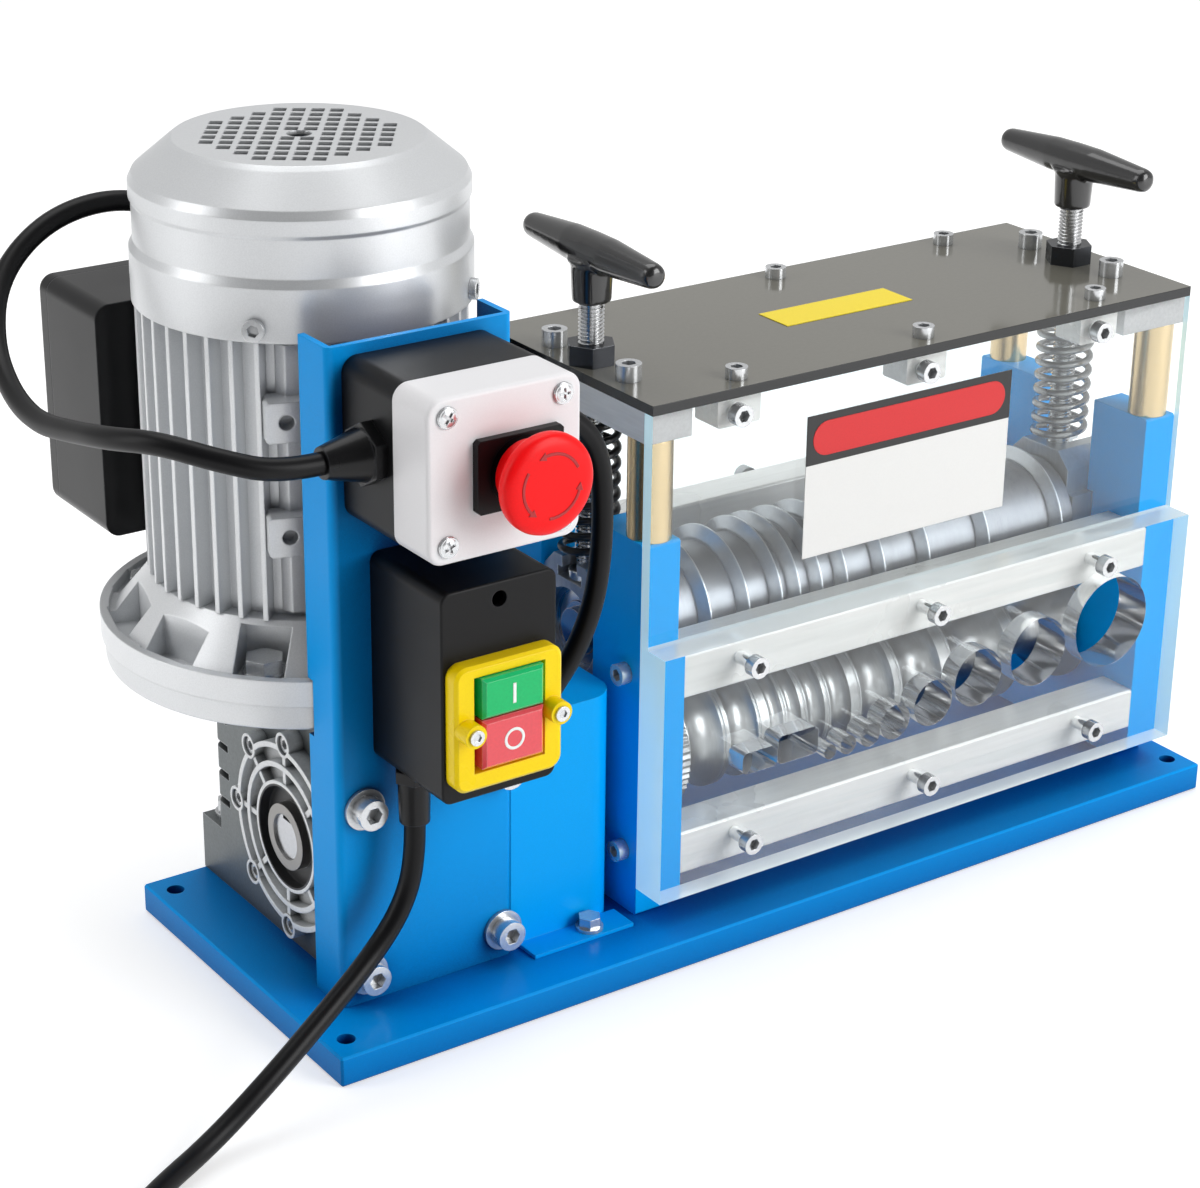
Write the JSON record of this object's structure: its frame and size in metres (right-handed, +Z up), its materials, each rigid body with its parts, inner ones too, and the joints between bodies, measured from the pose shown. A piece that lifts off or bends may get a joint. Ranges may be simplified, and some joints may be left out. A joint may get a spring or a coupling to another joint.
{
  "type": "wire stripping machine",
  "caption": "Bench machine whose worm gear motor turns a grooved feed roller under a screw-lowered roller of ring blades, behind clear drilled guards.",
  "frame": {"origin": "centre of the base plate's underside, the middle of its four mounting holes", "axes": "+X from the motor towards the stripping head, -Y the feeding side, +Z up"},
  "size_m": [0.667, 0.4029, 0.3165],
  "materials": {
    "blue_coat": "smooth blue powder coat",
    "silver_paint": "satin silver paint on castings",
    "bright_steel": "ground and zinc plated",
    "column_steel": "passivated, pale gold",
    "dark_plate": "glossy dark plate",
    "clear_guard": "clear sheet with bluish edges",
    "label_card": "bare printed card",
    "bearing_steel": "polished races",
    "lamination_steel": "stacked sheet",
    "can_aluminium": "drawn can",
    "black_plastic": "moulded, fine grain",
    "white_plastic": "moulded, smooth",
    "yellow_plastic": "moulded, smooth",
    "green_plastic": "translucent moulded",
    "red_plastic": "translucent moulded",
    "mushroom_red": "moulded, smooth",
    "screw_steel": "zinc plated",
    "black_cover": "satin moulded",
    "cord_rubber": "smooth black jacket",
    "block_steel": "milled",
    "blade_steel": "hardened and ground",
    "feed_steel": "hard chromed grooves",
    "spring_steel": "blackened wire",
    "handle_black": "smooth moulded",
    "wheel_bronze": "tin bronze"
  },
  "bodies": {
    "frame": {"base_plate": "blue_coat", "left_stand": "blue_coat", "right_stand": "blue_coat", "tie_bars": "bright_steel", "head_beams": "bright_steel", "head_columns": "column_steel", "top_plate": "dark_plate", "guard_brackets": "bright_steel", "front_upper_guard": "clear_guard", "front_lower_guard": "clear_guard", "rear_guard": "clear_guard", "blank_labels": "label_card", "shaft_bearings": "bearing_steel", "gearbox_housing": "silver_paint", "gearbox_covers": "silver_paint", "input_flange": "silver_paint", "motor_shield": "silver_paint", "motor_housing": "silver_paint", "motor_stator": "lamination_steel", "fan_cover": "silver_paint", "terminal_box": "black_cover", "terminal_box_lid": "black_cover", "capacitor": "can_aluminium", "control_bracket": "blue_coat", "coupling_guard": "blue_coat", "estop_base": "black_plastic", "estop_cover": "white_plastic", "contact_blocks": "black_plastic", "cable_glands": "black_plastic", "switch_box": "black_plastic", "switch_frame": "yellow_plastic", "socket_screws": "screw_steel", "hex_bolts": "screw_steel", "lock_nuts": "screw_steel", "motor_lead": "cord_rubber", "link_lead": "cord_rubber", "mains_lead": "cord_rubber", "mains_coil": "cord_rubber", "mains_plug": "black_plastic", "pressure_springs": "spring_steel"},
    "carriage": {"bearing_blocks": "block_steel", "upper_bearings": "bearing_steel"},
    "cutter_roller": {"upper_shaft": "bearing_steel", "cutter_blades": "blade_steel", "blade_spacers": "bright_steel"},
    "left_screw": {"adjusting_screw_left": "screw_steel", "t_handle_left": "handle_black"},
    "right_screw": {"adjusting_screw_right": "screw_steel", "t_handle_right": "handle_black"},
    "feed_roller": {"lower_shaft": "bearing_steel", "feed_wheels": "feed_steel", "shaft_coupling": "bright_steel", "worm_wheel": "wheel_bronze"},
    "motor_rotor": {"worm_shaft": "bearing_steel", "rotor": "lamination_steel", "cooling_fan": "black_plastic"},
    "stop_plunger": {"estop_stem": "black_plastic"},
    "stop_mushroom": {"estop_button": "mushroom_red"},
    "start_key": {"start_button": "green_plastic"},
    "stop_key": {"stop_button": "red_plastic"}
  },
  "joints": [
    {"name": "motor_spin", "type": "hinge", "parent": "frame", "child": "motor_rotor", "pos_m": [-0.157, 0.038, 0.16], "axis": [0, 0, 1], "continuous": true},
    {"name": "feed_roller_spin", "type": "hinge", "parent": "frame", "child": "feed_roller", "pos_m": [0.07, -0.002, 0.062], "axis": [1, 0, 0], "continuous": true},
    {"name": "carriage_lift", "type": "slide", "parent": "frame", "child": "carriage", "axis": [0, 0, 1], "range_m": [0, 0.025], "deforming": ["pressure_springs"]},
    {"name": "cutter_roller_spin", "type": "hinge", "parent": "carriage", "child": "cutter_roller", "pos_m": [0.07, -0.002, 0.1155], "axis": [1, 0, 0], "continuous": true},
    {"name": "left_screw_turn", "type": "hinge", "parent": "carriage", "child": "left_screw", "pos_m": [-0.057, -0.002, 0.2], "axis": [0, 0, 1], "range_deg": [0, 6000]},
    {"name": "right_screw_turn", "type": "hinge", "parent": "carriage", "child": "right_screw", "pos_m": [0.187, -0.002, 0.2], "axis": [0, 0, 1], "range_deg": [0, 6000]},
    {"name": "stop_plunger_push", "type": "slide", "parent": "frame", "child": "stop_plunger", "axis": [0, 1, 0], "range_m": [0, 0.0045], "stiffness_N_per_m": 600, "springref_m": -0.0005},
    {"name": "stop_mushroom_twist", "type": "hinge", "parent": "stop_plunger", "child": "stop_mushroom", "pos_m": [-0.157, -0.12, 0.234], "axis": [0, 1, 0], "range_deg": [0, 40], "stiffness_Nm_per_rad": 0.2},
    {"name": "start_key_push", "type": "slide", "parent": "frame", "child": "start_key", "axis": [0, 1, 0], "range_m": [0, 0.003], "stiffness_N_per_m": 400, "springref_m": -0.0005},
    {"name": "stop_key_push", "type": "slide", "parent": "frame", "child": "stop_key", "axis": [0, 1, 0], "range_m": [0, 0.003], "stiffness_N_per_m": 400, "springref_m": -0.0005}
  ],
  "couplings": [
    {"joint": "feed_roller_spin", "follows": "motor_spin", "ratio": -0.066667},
    {"joint": "left_screw_turn", "follows": "carriage_lift", "rad_per_m": 4188.8},
    {"joint": "right_screw_turn", "follows": "carriage_lift", "rad_per_m": 4188.8}
  ]
}
